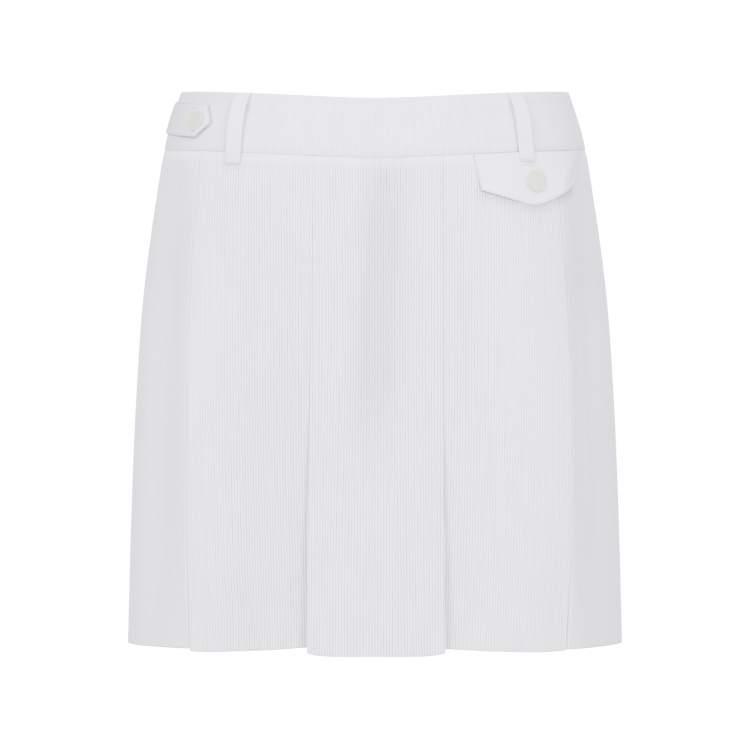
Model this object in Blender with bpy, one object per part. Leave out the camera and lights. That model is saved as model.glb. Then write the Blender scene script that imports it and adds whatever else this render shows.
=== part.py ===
"""A short pleated golf skirt of ribbed cloth, held open as it is worn. Metres, +Z up, front towards -Y.

The origin is the middle of the waistband's opening. Every piece is laid out on the same hollow form: a
place on the cloth is an arc length from the centre front, a height, and a lift off the form.
"""

import math
from collections import namedtuple
from functools import partial

import bmesh
import bpy
import numpy as np

MM = 0.001

# Heights above the origin, and the band between them
FRONT_TOP = 15.9 * MM
SIDE_TOP = 27.9 * MM
BACK_TOP = 30.5 * MM
BAND_HEIGHT = 40.7 * MM
HEM_HEIGHT = -357.4 * MM
DIP_SOFTNESS = 0.16  # how wide the bottom of the front dip is, as a share of the way to the side

# Cloth
CLOTH = 1.0 * MM
BAND_CLOTH = 2.4 * MM
DOUBLED_CLOTH = 1.8 * MM
LOOP_CLOTH = 1.4 * MM
SEAM_GAP = 0.3 * MM

# The hollow form: its half width and its depth in front of and behind the side seams, at each height
FORM_POWER = 2.4  # 2 would be an ellipse; more is a flatter front with rounder sides
OUTLINE_STEPS = 240
FormRow = namedtuple("FormRow", "height half_width front_depth back_depth")
FORM = [
    FormRow(-358 * MM, 172.9 * MM, 114 * MM, 125 * MM),
    FormRow(-260 * MM, 170.2 * MM, 112 * MM, 123 * MM),
    FormRow(-180 * MM, 166.7 * MM, 110 * MM, 121 * MM),
    FormRow(-110 * MM, 161.5 * MM, 107 * MM, 116 * MM),
    FormRow(-50 * MM, 153.2 * MM, 103 * MM, 107 * MM),
    FormRow(-12 * MM, 146.2 * MM, 99 * MM, 98 * MM),
    FormRow(34 * MM, 132.4 * MM, 91 * MM, 87 * MM),
]

# Pleats: each turns away from the centre front. Edges are distances from the centre line.
STITCH_END = 0.37  # share of the way down to the hem at which the stitching lets the pleats open
FOLD_STEPS = 5
UNDER_STEPS = 4
FOLD_RADIUS = 0.65 * MM
FOLD_RADIUS_AT_HEM = 1.1 * MM
TUCK_WIDTH = 4 * MM  # how far past a fold the panel under it takes to come back out, at the seam
TUCK_WIDTH_AT_HEM = 38 * MM
TUCK_STEPS = 3
PANEL_STEPS = 5
SIDE_PANEL_STEPS = 7
Pleat = namedtuple(
    "Pleat", "side edge_at_seam edge_at_stitch_end edge_at_hem underlay sink_at_hem sag_after rise_after"
)
PLEATS = [
    Pleat(-1, 40.5 * MM, 43.2 * MM, 44.8 * MM, 28 * MM, 6.4 * MM, 4.0 * MM, 5.4 * MM),
    Pleat(-1, 119.3 * MM, 123.8 * MM, 124.4 * MM, 24 * MM, 5.6 * MM, 0.8 * MM, 3.4 * MM),
    Pleat(+1, 45.2 * MM, 45.5 * MM, 46.6 * MM, 28 * MM, 8.0 * MM, 4.0 * MM, 4.3 * MM),
    Pleat(+1, 121.5 * MM, 129.5 * MM, 128.9 * MM, 24 * MM, 5.6 * MM, 0.8 * MM, 2.4 * MM),
]
FOLD_RISE = 1.8 * MM  # how much higher the hem's corner sits at a fold's edge
UNDER_RISE = 1.8  # how many times higher again the layers under the fold sit
CORNER_POWER = 6  # more keeps the rise closer to the corner
OPENING_EASE = 0.8  # 1 would let the pleats stop widening at the hem; less keeps them widening there
PANEL_LEVELS = [0, 0.04, 0.11, 0.2, 0.29, 0.37, 0.43, 0.52, 0.64, 0.76, 0.88, 0.96, 1]

# Soft hollows of the front, each a straight line down the cloth: arc lengths from the centre front where it
# starts and ends, and the shares of the way down to the hem between which it is deep
Hollow = namedtuple("Hollow", "start end width depth from_down to_down")
HOLLOWS = [
    Hollow(1 * MM, 3 * MM, 9.5 * MM, 6 * MM, 0.05, 0.74),
    Hollow(162 * MM, 182 * MM, 18 * MM, 6.5 * MM, 0.1, 1.0),
    Hollow(-156 * MM, -172 * MM, 18 * MM, 4 * MM, 0.1, 1.0),
]
HOLLOW_FADE = 0.16

# Soft flutes of the back, which has no pleats: where each crest lies and how far it stands out at the hem
FLUTE_START = 0.25  # share of the way down to the hem
FLUTE_FADE = 0.12  # share of the way from the side seam to the centre back in which they die out to the seam
Flute = namedtuple("Flute", "share width depth")
FLUTES = [
    Flute(1.22, 0.16, 3.2 * MM),
    Flute(1.47, 0.13, -3.6 * MM),
    Flute(1.68, 0.13, 4.2 * MM),
    Flute(1.9, 0.1, -2.4 * MM),
]
BACK_STEPS = 22

# Waistband
BAND_STEPS = 26
BAND_LEVELS = [0, 0.34, 0.67, 1]
BAND_LIFT = -0.3 * MM

# Belt loops: where each crosses the band, as a share of the way from the centre front to the side seam
LOOP_WIDTH = 11 * MM
LOOP_GAP = 3.4 * MM
LOOP_BELOW_TOP = 0.8 * MM
LOOP_TURN_IN = 4 * MM  # length over which a loop comes back in to the cloth below the band
LOOP_STEPS = 12
Loop = namedtuple("Loop", "name share below_seam on_flap")
LOOPS = [
    Loop("belt_loop_front_left", -0.475, 9.5 * MM, False),
    Loop("belt_loop_front_right", 0.51, 8 * MM, True),
    Loop("belt_loop_back_left", -1.52, 9 * MM, False),
    Loop("belt_loop_back_right", 1.52, 9 * MM, False),
]

# Adjuster tab: it lies on the band from behind the left side seam forwards, and ends in a point
TAB_HEIGHT = 22.6 * MM
TAB_POINT_ABOVE = 7 * MM  # how far the point runs out past the corner above it, and past the one below it
TAB_POINT_BELOW = 13 * MM
TAB_TIP = 0.579  # share of the way from the centre front to the side seam
TAB_BEHIND_SEAM = 26 * MM
TAB_BELOW_TOP = 20.7 * MM  # from the band's top edge to the tab's middle line, at its tip and at its end
TAB_BELOW_TOP_AT_END = 16.5 * MM
TAB_STEPS = 14
TAB_SNAP_FROM_TIP = 13.2 * MM

# Pocket flap: it hangs from the band's seam on the right
FLAP_TOP_CENTRE = 118.2 * MM
FLAP_BOTTOM_CENTRE = 110.1 * MM
FLAP_TOP_WIDTH = 101 * MM
FLAP_BOTTOM_WIDTH = 77 * MM
FLAP_CORNER_DROP = 24.5 * MM
FLAP_POINT_DROP = 36.3 * MM
FLAP_STAND_OFF = 0.9 * MM
FLAP_LEVEL = 0.08  # share of the way down to the hem at which the flap's widths are measured round the form
FLAP_COLUMNS = 16
FLAP_ROWS = 5
FLAP_SNAP_DROP = 20.5 * MM

# Snap caps
CAP_RADIUS = 7.6 * MM
CAP_HEIGHT = 1.7 * MM
CAP_SEGMENTS = 28
CapRow = namedtuple("CapRow", "radius height")
CAP_PROFILE = [
    CapRow(0.93, 0.0),
    CapRow(1.0, 0.3),
    CapRow(0.985, 0.62),
    CapRow(0.9, 0.86),
    CapRow(0.6, 0.96),
]

WHITE_RIB = ("white_ribbed_cloth", (0.86, 0.86, 0.88, 1), 0.85)
WHITE_TRIM = ("white_smooth_cloth", (0.87, 0.87, 0.88, 1), 0.8)
IVORY_CAP = ("ivory_cap", (0.80, 0.80, 0.74, 1), 0.35)


def clear_scene():
    for obj in list(bpy.data.objects):
        bpy.data.objects.remove(obj)


def ease(share):
    """0 to 1 with a soft start and end."""
    share = min(max(share, 0.0), 1.0)
    return share * share * (3 - 2 * share)


def mix(first, last, share):
    return first + (last - first) * share


def read_form(height, column):
    """One column of the form's table, on a smooth curve through its rows."""
    heights = [row.height for row in FORM]
    values = [getattr(row, column) for row in FORM]
    slopes = np.gradient(values, heights)
    upper = min(max(int(np.searchsorted(heights, height)), 1), len(FORM) - 1)
    lower = upper - 1
    span = heights[upper] - heights[lower]
    s = (height - heights[lower]) / span
    return (
        values[lower] * (1 + 2 * s) * (1 - s) ** 2
        + values[upper] * s * s * (3 - 2 * s)
        + span * (slopes[lower] * s * (1 - s) ** 2 - slopes[upper] * s * s * (1 - s))
    )


class Outline:
    """One half of the form's outline at a height, from the centre front round the side to the centre back."""

    def __init__(self, height):
        self.half_width = read_form(height, "half_width")
        self.depths = (read_form(height, "front_depth"), read_form(height, "back_depth"))
        turn = np.linspace(0, math.pi, OUTLINE_STEPS + 1)
        depth = np.where(turn < math.pi / 2, *self.depths)
        self.x = self.half_width * np.abs(np.sin(turn)) ** (2 / FORM_POWER)
        self.y = -np.sign(np.cos(turn)) * depth * np.abs(np.cos(turn)) ** (2 / FORM_POWER)
        steps = np.hypot(np.diff(self.x), np.diff(self.y))
        self.length = np.concatenate([[0], np.cumsum(steps)])
        self.to_side = self.length[OUTLINE_STEPS // 2]
        self.to_back = self.length[-1] - self.to_side

    def along(self, share):
        """Arc length at a share: 0 is centre front, 1 side seam, 2 centre back; negative is the left."""
        size = abs(share)
        length = self.to_side * min(size, 1) + self.to_back * max(size - 1, 0)
        return math.copysign(length, share)

    def along_of_x(self, x):
        half = OUTLINE_STEPS // 2 + 1
        return float(np.interp(x, self.x[:half], self.length[:half]))

    def point(self, along, lift):
        """The plan position of a point lifted off the outline, and the outward direction there."""
        size = abs(along)
        x = float(np.interp(size, self.length, self.x))
        y = float(np.interp(size, self.length, self.y))
        depth = self.depths[0] if y < 0 else self.depths[1]
        out_x = (x / self.half_width) ** (FORM_POWER - 1) / self.half_width
        out_y = math.copysign((abs(y) / depth) ** (FORM_POWER - 1) / depth, y)
        size_out = math.hypot(out_x, out_y)
        out_x, out_y = out_x / size_out, out_y / size_out
        side = -1 if along < 0 else 1
        return side * (x + out_x * lift), y + out_y * lift, side * out_x, out_y


def on_form(share, lift, height):
    """A point of the cloth in space."""
    outline = Outline(height)
    x, y, _, _ = outline.point(outline.along(share), lift)
    return x, y, height


def top_edge(share):
    """Height of the waistband's top edge."""
    size = abs(share)
    if size > 1:
        return mix(SIDE_TOP, BACK_TOP, math.sin(math.pi / 2 * (size - 1)))
    rise = (math.hypot(size, DIP_SOFTNESS) - DIP_SOFTNESS) / (math.hypot(1, DIP_SOFTNESS) - DIP_SOFTNESS)
    return mix(FRONT_TOP, SIDE_TOP, rise)


def band_seam(share):
    """Height of the seam between the waistband and the skirt."""
    return top_edge(share) - BAND_HEIGHT


def level_outline(down):
    """The outline that stands for a whole level of the skirt, 0 at the band's seam and 1 at the hem."""
    return Outline(mix(band_seam(0.5), HEM_HEIGHT, down))


def offset_path(path, distance):
    """A path of (along, lift, ...) points moved to its left by a distance, with its corners kept."""
    moved = []
    for i, point in enumerate(path):
        before = path[max(i - 1, 0)]
        after = path[min(i + 1, len(path) - 1)]
        turns = []
        for start, end in ((before, point), (point, after)):
            run, climb = end[0] - start[0], end[1] - start[1]
            size = math.hypot(run, climb)
            if size > 0:
                turns.append((-climb / size, run / size))
        left = [sum(turn[axis] for turn in turns) for axis in (0, 1)]
        size = math.hypot(*left)
        reach = distance * len(turns) / size**2 * size
        moved.append((point[0] + left[0] / size * reach, point[1] + left[1] / size * reach, *point[2:]))
    return moved


def quadratic(at, seam, stitch_end, hem):
    """The smooth curve through a value at the seam, at the end of the stitching and at the hem."""
    return (
        seam * (at - STITCH_END) * (at - 1) / STITCH_END
        + stitch_end * at * (at - 1) / (STITCH_END * (STITCH_END - 1))
        + hem * at * (at - STITCH_END) / (1 - STITCH_END)
    )


def opening(down):
    """How far the pleats have opened: 0 down to the stitching's end, 1 at the hem."""
    return ease((down - STITCH_END) / (1 - STITCH_END) * OPENING_EASE) / ease(OPENING_EASE)


def pleat_edge(pleat, down, outline):
    x = quadratic(down, pleat.edge_at_seam, pleat.edge_at_stitch_end, pleat.edge_at_hem)
    return outline.along_of_x(x)


def pleat_sink(pleat, down):
    """How far under a fold the next panel starts."""
    return mix(4 * FOLD_RADIUS, pleat.sink_at_hem, opening(down))


def tuck_width(down):
    return mix(TUCK_WIDTH, TUCK_WIDTH_AT_HEM, opening(down))


def panel_lift(pleat, down, past, width):
    """Lift of the panel that starts under a pleat, at a distance past the pleat's edge."""
    share = past / width
    sag = pleat.sag_after * ease(down / STITCH_END)
    return -pleat_sink(pleat, down) * (1 - ease(past / tuck_width(down))) - 4 * sag * share * (1 - share)


def fold_radius(down):
    return mix(FOLD_RADIUS, FOLD_RADIUS_AT_HEM, opening(down))


def hidden_edge(pleat, down, edge):
    """Where the under layers of a pleat turn back, as an arc length."""
    return edge - pleat.underlay + fold_radius(down)


def fold(pleat, down, edge, lift_above):
    """The two turns of a pleat, from the top layer's edge to where the next panel comes out.

    The layers under the fold keep their distance from the panel above them, whose lift is lift_above(along),
    and bend at the same places.
    """
    radius = fold_radius(down)
    sink = pleat_sink(pleat, down)
    turns = [math.pi * n / FOLD_STEPS for n in range(FOLD_STEPS + 1)]
    hidden = hidden_edge(pleat, down, edge)
    path = []
    for turn in turns:
        along = edge - radius + radius * math.sin(turn)
        rise = FOLD_RISE * mix(1, UNDER_RISE, turn / math.pi)
        path.append((along, lift_above(along) + radius * (math.cos(turn) - 1), rise))
    for n in range(1, UNDER_STEPS):
        along = mix(edge - radius, hidden, n / UNDER_STEPS)
        path.append((along, lift_above(along) + mix(-2 * radius, 2 * radius - sink, n / UNDER_STEPS), rise))
    for turn in turns:
        along = hidden - radius * math.sin(turn)
        path.append((along, lift_above(along) + radius * (math.cos(turn) + 1) - sink, rise))
    for n in range(1, UNDER_STEPS):
        along = mix(hidden, edge - radius, n / UNDER_STEPS)
        path.append((along, lift_above(along) - sink, rise))
    return path


def flat_lift(along):
    return 0.0


def lift_on_panel(pleat, down, edge, width, along):
    """Lift of the panel after a pleat at an arc length, carried on level past its far edge."""
    return panel_lift(pleat, down, min(along - edge, width), width)


def hollow_lift(along, down):
    """How far the soft hollows draw all the layers in at a place."""
    lift = 0.0
    for hollow in HOLLOWS:
        centre = mix(hollow.start, hollow.end, down)
        shown = ease((down - hollow.from_down + HOLLOW_FADE) / (2 * HOLLOW_FADE))
        shown *= ease((hollow.to_down + HOLLOW_FADE - down) / (2 * HOLLOW_FADE)) if hollow.to_down < 1 else 1
        lift -= hollow.depth * shown * math.exp(-(((along - centre) / hollow.width) ** 2))
    return lift


def panel_places(start, tuck, turn_back, end):
    """Arc lengths across a panel that ends in a fold, with bends where the layers under it bend."""
    places = [start + tuck * n / TUCK_STEPS for n in range(TUCK_STEPS)] if tuck > 0 else []
    outer_turn_back = turn_back - 2 * FOLD_RADIUS
    places += [mix(start + tuck, outer_turn_back, n / PANEL_STEPS) for n in range(PANEL_STEPS + 1)]
    return places + [mix(turn_back, end, n / UNDER_STEPS) for n in range(UNDER_STEPS)]


def side_panel_places(start, tuck, end):
    """Arc lengths across the panel that ends at the side seam."""
    places = [start + tuck * n / TUCK_STEPS for n in range(TUCK_STEPS)]
    return places + [mix(start + tuck, end, n / SIDE_PANEL_STEPS) for n in range(SIDE_PANEL_STEPS + 1)]


def front_half(side, down):
    """Mid-line of half the front at a level, centre front to side seam: (along, lift, hem rise)."""
    outline = level_outline(down)
    pleats = [pleat for pleat in PLEATS if pleat.side == side]
    edges = [pleat_edge(pleat, down, outline) for pleat in pleats]
    turns_back = [hidden_edge(pleat, down, edge) for pleat, edge in zip(pleats, edges)]
    first_end = edges[0] - fold_radius(down)
    path = []
    for along in panel_places(0, 0, turns_back[0], first_end):
        path.append((along, 0.0, FOLD_RISE * (along / first_end) ** CORNER_POWER))
    lift_above = flat_lift
    for n, (pleat, edge) in enumerate(zip(pleats, edges)):
        path += fold(pleat, down, edge, lift_above)
        last = pleat == pleats[-1]
        if last:
            end = outline.to_side - SEAM_GAP / 2
            places = side_panel_places(edge, tuck_width(down), end)
        else:
            end = edges[n + 1] - fold_radius(down)
            places = panel_places(edge, tuck_width(down), turns_back[n + 1], end)
        width = end - edge
        for along in places:
            share = (along - edge) / width
            corner = 0 if last else FOLD_RISE * share**CORNER_POWER
            rise = pleat.rise_after * (1 - share) + corner
            path.append((along, panel_lift(pleat, down, along - edge, width), rise))
        lift_above = partial(lift_on_panel, pleat, down, edge, width)
    return [(side * along, lift, rise) for along, lift, rise in path]


def front_path(down):
    left = front_half(-1, down)
    path = left[:0:-1] + front_half(+1, down)
    return [(along, lift + hollow_lift(along, down), rise) for along, lift, rise in path]


def flute_lift(share, down):
    """How far the back's cloth stands off the form."""
    fall = ease((down - FLUTE_START) / (1 - FLUTE_START))
    waves = (flute.depth * math.exp(-(((abs(share) - flute.share) / flute.width) ** 2)) for flute in FLUTES)
    return fall * sum(waves)


def back_path(side, down):
    """Mid-line of half the back at a level, from the side seam to the centre back."""
    outline = level_outline(down)
    start = outline.to_side + SEAM_GAP / 2
    end = outline.to_side + outline.to_back - SEAM_GAP / 2
    path = []
    for n in range(BACK_STEPS + 1):
        along = mix(start, end, n / BACK_STEPS)
        share = 1 + (along - outline.to_side) / outline.to_back
        path.append((side * along, flute_lift(share, down) * ease((share - 1) / FLUTE_FADE), 0.0))
    return path if side > 0 else path[::-1]


def share_of(along, outline):
    size = abs(along)
    past_side = max(size - outline.to_side, 0) / outline.to_back
    return math.copysign(min(size, outline.to_side) / outline.to_side + past_side, along)


def skirt_row(path, down):
    """A level's path in space."""
    outline = level_outline(down)
    row = []
    for along, lift, rise in path:
        share = share_of(along, outline)
        height = mix(band_seam(share) - SEAM_GAP, HEM_HEIGHT + rise, down)
        row.append(on_form(share, lift, height))
    return row


def material(name, colour, roughness):
    made = bpy.data.materials.get(name)
    if made is None:
        made = bpy.data.materials.new(name)
        made.use_nodes = True
        surface = made.node_tree.nodes["Principled BSDF"]
        surface.inputs["Base Color"].default_value = colour
        surface.inputs["Roughness"].default_value = roughness
        surface.inputs["Metallic"].default_value = 0.0
    return made


def add_object(name, mesh_data, finish):
    mesh = bpy.data.meshes.new(name)
    mesh_data.to_mesh(mesh)
    mesh_data.free()
    mesh.shade_smooth()
    mesh.set_sharp_from_angle(angle=math.radians(40))
    mesh.materials.append(material(*finish))
    obj = bpy.data.objects.new(name, mesh)
    bpy.context.scene.collection.objects.link(obj)
    return obj


def add_wall(name, outer, inner, finish):
    """A closed wall between two grids of points, each a list of rows from top to bottom."""
    made = bmesh.new()
    rings = [
        [made.verts.new(point) for point in outer_row + inner_row[::-1]]
        for outer_row, inner_row in zip(outer, inner)
    ]
    count = len(rings[0])
    for upper, lower in zip(rings, rings[1:]):
        for n in range(count):
            made.faces.new((upper[n - 1], upper[n], lower[n], lower[n - 1]))
    for ring in (rings[0], rings[-1]):
        for n in range(count // 2 - 1):
            made.faces.new((ring[n], ring[n + 1], ring[count - 2 - n], ring[count - 1 - n]))
    bmesh.ops.recalc_face_normals(made, faces=made.faces)
    return add_object(name, made, finish)


def add_panel(name, path_at):
    """A skirt panel, from its mid-line at each level."""
    outer, inner = [], []
    for down in PANEL_LEVELS:
        path = path_at(down)
        outer.append(skirt_row(offset_path(path, CLOTH / 2), down))
        inner.append(skirt_row(offset_path(path, -CLOTH / 2), down))
    add_wall(name, outer, inner, WHITE_RIB)


def add_band(name, first, last):
    """A length of waistband between two shares of the way round."""
    grids = []
    for lift in (BAND_LIFT + BAND_CLOTH / 2, BAND_LIFT - BAND_CLOTH / 2):
        rows = []
        for down in BAND_LEVELS:
            row = []
            for n in range(BAND_STEPS + 1):
                share = mix(first, last, n / BAND_STEPS)
                height = mix(top_edge(share), band_seam(share), down)
                outline = Outline(height)
                gap = SEAM_GAP / 2 * (1 if n == 0 else -1 if n == BAND_STEPS else 0)
                x, y, _, _ = outline.point(outline.along(share) + gap, lift)
                row.append((x, y, height))
            rows.append(row)
        grids.append(rows)
    add_wall(name, *grids, WHITE_RIB)


def flap_lift(drop):
    """Lift of the flap's middle layer off the form, standing further off towards its point."""
    clear = CLOTH / 2 + SEAM_GAP + DOUBLED_CLOTH / 2
    return clear + FLAP_STAND_OFF * ease(drop / FLAP_POINT_DROP)


def flap_place(across, drop):
    """(share, height) on the flap, from a position across it, -1 to 1, and a drop below the band's seam."""
    fall = min(drop / FLAP_CORNER_DROP, 1)
    centre = mix(FLAP_TOP_CENTRE, FLAP_BOTTOM_CENTRE, fall)
    half = mix(FLAP_TOP_WIDTH, FLAP_BOTTOM_WIDTH, fall) / 2
    outline = level_outline(FLAP_LEVEL)
    share = (centre + across * half) / outline.to_side
    return share, band_seam(share) - SEAM_GAP - drop


def add_flap():
    grids = []
    for offset in (DOUBLED_CLOTH / 2, -DOUBLED_CLOTH / 2):
        rows = []
        for line in range(FLAP_ROWS + 1):
            row = []
            for n in range(FLAP_COLUMNS + 1):
                across = 2 * n / FLAP_COLUMNS - 1
                bottom = mix(FLAP_POINT_DROP, FLAP_CORNER_DROP, abs(across))
                drop = bottom * line / FLAP_ROWS
                share, height = flap_place(across, drop)
                row.append(on_form(share, flap_lift(drop) + offset, height))
            rows.append(row)
        grids.append(rows)
    add_wall("pocket_flap", *grids, WHITE_TRIM)


def tab_lift():
    return BAND_LIFT + BAND_CLOTH / 2 + SEAM_GAP + DOUBLED_CLOTH / 2


def add_tab():
    """The adjuster tab, as rows down its height and columns along the band."""
    outline = Outline(0)
    tip = TAB_TIP * outline.to_side
    end = outline.to_side + TAB_BEHIND_SEAM
    grids = []
    for offset in (DOUBLED_CLOTH / 2, -DOUBLED_CLOTH / 2):
        rows = []
        for across in (-1, -0.5, 0, 0.5, 1):
            row = []
            for n in range(TAB_STEPS + 1):
                point = TAB_POINT_ABOVE if across < 0 else TAB_POINT_BELOW
                along = mix(tip + point * abs(across), end, n / TAB_STEPS)
                share = -share_of(along, outline)
                middle = mix(TAB_BELOW_TOP, TAB_BELOW_TOP_AT_END, (along - tip) / (end - tip))
                height = top_edge(share) - middle - across * TAB_HEIGHT / 2
                row.append(on_form(share, tab_lift() + offset, height))
            rows.append(row)
        grids.append(rows)
    add_wall("adjuster_tab", *grids, WHITE_TRIM)


def add_cap(name, share, lift, height):
    """A round domed snap cap, lying on the cloth with its flat back."""
    outline = Outline(height)
    x, y, out_x, out_y = outline.point(outline.along(share), lift)
    spin = [2 * math.pi * n / CAP_SEGMENTS for n in range(CAP_SEGMENTS)]
    made = bmesh.new()
    rings = []
    for row in CAP_PROFILE:
        radius, level = row.radius * CAP_RADIUS, row.height * CAP_HEIGHT
        rings.append([made.verts.new((radius * math.cos(a), radius * math.sin(a), level)) for a in spin])
    for lower, upper in zip(rings, rings[1:]):
        for n in range(CAP_SEGMENTS):
            made.faces.new((lower[n - 1], lower[n], upper[n], upper[n - 1]))
    made.faces.new(rings[0][::-1])
    crown = made.verts.new((0, 0, CAP_HEIGHT))
    for n in range(CAP_SEGMENTS):
        made.faces.new((rings[-1][n - 1], rings[-1][n], crown))
    bmesh.ops.recalc_face_normals(made, faces=made.faces)
    cap = add_object(name, made, IVORY_CAP)
    cap.location = (x, y, height)
    cap.rotation_euler = (math.pi / 2 - form_slope(share, height), 0, math.atan2(out_x, -out_y))


def form_slope(share, height):
    """How far the form leans outwards going down at a place, as an angle."""
    upper = on_form(share, 0, height + MM)
    lower = on_form(share, 0, height - MM)
    return math.atan2(math.dist(upper[:2], lower[:2]), 2 * MM)


def add_caps():
    outline = Outline(0)
    share = -(TAB_TIP + TAB_SNAP_FROM_TIP / outline.to_side)
    lift = tab_lift() + DOUBLED_CLOTH / 2 + SEAM_GAP
    add_cap("snap_cap_tab", share, lift, top_edge(share) - TAB_BELOW_TOP)
    share, height = flap_place(0, FLAP_SNAP_DROP)
    lift = flap_lift(FLAP_SNAP_DROP) + DOUBLED_CLOTH / 2 + SEAM_GAP
    add_cap("snap_cap_flap", share, lift, height)


def loop_path(loop):
    """Mid-line of a belt loop: (drop below the band's top edge, lift), from the top edge down."""
    on_band = BAND_LIFT + BAND_CLOTH / 2 + SEAM_GAP + LOOP_CLOTH / 2
    under_end = flap_lift(loop.below_seam) + DOUBLED_CLOTH / 2 if loop.on_flap else CLOTH / 2
    on_end = under_end + SEAM_GAP + LOOP_CLOTH / 2
    length = BAND_HEIGHT + loop.below_seam
    turn_in = BAND_HEIGHT - LOOP_TURN_IN - MM if loop.on_flap else BAND_HEIGHT + MM
    path = []
    for n in range(LOOP_STEPS + 1):
        drop = mix(LOOP_BELOW_TOP, length, n / LOOP_STEPS)
        bulge = LOOP_GAP * math.sin(math.pi * min(drop / BAND_HEIGHT, 1)) ** 0.5
        path.append((drop, mix(on_band + bulge, on_end, ease((drop - turn_in) / LOOP_TURN_IN))))
    return path


def add_loop(loop):
    path = loop_path(loop)
    grids = []
    for offset in (LOOP_CLOTH / 2, -LOOP_CLOTH / 2):
        rows = []
        for drop, lift in offset_path(path, offset):
            height = top_edge(loop.share) - drop
            outline = Outline(height)
            row = []
            for across in (-0.5, 0, 0.5):
                x, y, _, _ = outline.point(outline.along(loop.share) + across * LOOP_WIDTH, lift)
                row.append((x, y, height))
            rows.append(row)
        grids.append(rows)
    add_wall(loop.name, *grids, WHITE_TRIM)


def main():
    clear_scene()
    add_band("waistband_front", -1, 1)
    add_band("waistband_back_left", -2, -1)
    add_band("waistband_back_right", 1, 2)
    add_panel("front_pleated", front_path)
    add_panel("back_left", lambda down: back_path(-1, down))
    add_panel("back_right", lambda down: back_path(+1, down))
    for loop in LOOPS:
        add_loop(loop)
    add_flap()
    add_tab()
    add_caps()


main()
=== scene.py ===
import math

import bpy
import numpy as np
from mathutils import Matrix, Vector


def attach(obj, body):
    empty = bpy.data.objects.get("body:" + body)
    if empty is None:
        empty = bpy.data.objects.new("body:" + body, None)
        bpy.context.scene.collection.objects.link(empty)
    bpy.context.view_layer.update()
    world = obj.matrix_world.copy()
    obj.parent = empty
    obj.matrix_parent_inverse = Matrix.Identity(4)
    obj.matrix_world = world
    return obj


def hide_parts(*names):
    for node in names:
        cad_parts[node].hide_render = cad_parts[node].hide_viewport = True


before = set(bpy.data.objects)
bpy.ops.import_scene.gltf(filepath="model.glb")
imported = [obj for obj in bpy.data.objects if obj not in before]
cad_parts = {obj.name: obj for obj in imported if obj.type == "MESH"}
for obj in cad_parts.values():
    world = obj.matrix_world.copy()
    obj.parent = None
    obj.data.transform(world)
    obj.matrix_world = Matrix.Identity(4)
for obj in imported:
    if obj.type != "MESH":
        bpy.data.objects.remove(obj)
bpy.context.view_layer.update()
mm = 0.001
print("frame loaded:", ", ".join(sorted(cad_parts)))

# The hollow form that the skirt is filled out to. All lengths below are in millimetres.
form = {
    "power": 2.4,  # 2 is an ellipse, more is flatter in front with rounder sides
    "height": [-358, -260, -180, -110, -50, -12, 34],
    "halfWidth": [172.9, 170.2, 166.7, 161.5, 153.2, 146.2, 132.4],
    "frontDepth": [114, 112, 110, 107, 103, 99, 91],
    "backDepth": [125, 123, 121, 116, 107, 98, 87],
}

edges = {
    "frontTop": 15.9,
    "sideTop": 27.9,
    "backTop": 30.5,
    "dipSoftness": 0.16,  # roundness of the dip at the centre front
    "bandHeight": 40.7,
    "hem": -357.4,
    "seam": 0.05,  # between two pieces that are sewn edge to edge
    "gap": 0.3,  # between two pieces that lie on each other
}

cloth = {
    "thick": 0.95,
    "ribPitch": 1.9,
    "ribDepth": 0.5,
    "ribWidth": 0.7,  # less makes the grooves between the ribs narrower
    "ribColumns": 4,
}
ribSpacing = cloth["ribPitch"] / cloth["ribColumns"]


def mix(first, last, share):
    return first + (last - first) * share


def ease(share):
    share = np.clip(share, 0.0, 1.0)
    return share * share * (3 - 2 * share)


def bump(distance, width):
    return np.exp(-((distance / width) ** 2))


def softPoint(away, soft):
    # from 0 in the middle to 1 at a distance of 1, with a rounded point
    return (np.hypot(away, soft) - soft) / (math.hypot(1, soft) - soft)


def rounded(fromEdge, radius, least=0.03):
    # the share of its thickness that a rounded edge has there
    return np.sqrt(np.clip(1 - np.clip(1 - fromEdge / radius, 0, 1) ** 2, least, 1))


def curveThrough(xs, ys, at):
    xs, ys = np.asarray(xs, float), np.asarray(ys, float)
    slopes = np.gradient(ys, xs)
    upper = np.clip(np.searchsorted(xs, at), 1, len(xs) - 1)
    lower = upper - 1
    span = xs[upper] - xs[lower]
    s = (at - xs[lower]) / span
    ends = ys[lower] * (1 + 2 * s) * (1 - s) ** 2 + ys[upper] * s * s * (3 - 2 * s)
    return ends + span * (slopes[lower] * s * (1 - s) ** 2 - slopes[upper] * s * s * (1 - s))


formLevels = np.linspace(-372, 46, 140)
formShares = np.linspace(0, 2, 2001)  # 0 centre front, 1 side seam, 2 centre back


def layOutForm():
    steps = 3000
    turn = np.linspace(0, math.pi, steps + 1)
    power = form["power"]
    rows, lengths = [], []
    for height in formLevels:
        half, front, back = (curveThrough(form["height"], form[name], height)
                             for name in ("halfWidth", "frontDepth", "backDepth"))
        x = half * np.abs(np.sin(turn)) ** (2 / power)
        y = -np.sign(np.cos(turn)) * np.where(turn < math.pi / 2, front, back)
        y = y * np.abs(np.cos(turn)) ** (2 / power)
        run = np.concatenate([[0], np.cumsum(np.hypot(np.diff(x), np.diff(y)))])
        toSide = run[steps // 2]
        toBack = run[-1] - toSide
        wanted = np.where(formShares < 1, formShares * toSide, toSide + (formShares - 1) * toBack)
        x, y = np.interp(wanted, run, x), np.interp(wanted, run, y)
        depth = np.where(y < 0, front, back)
        outX = (x / half) ** (power - 1) / half
        outY = np.sign(y) * (np.abs(y) / depth) ** (power - 1) / depth
        size = np.hypot(outX, outY)
        rows.append((x, y, outX / size, outY / size))
        lengths.append((toSide, toBack))
    return np.array(rows).transpose(1, 0, 2), np.array(lengths)


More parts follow.
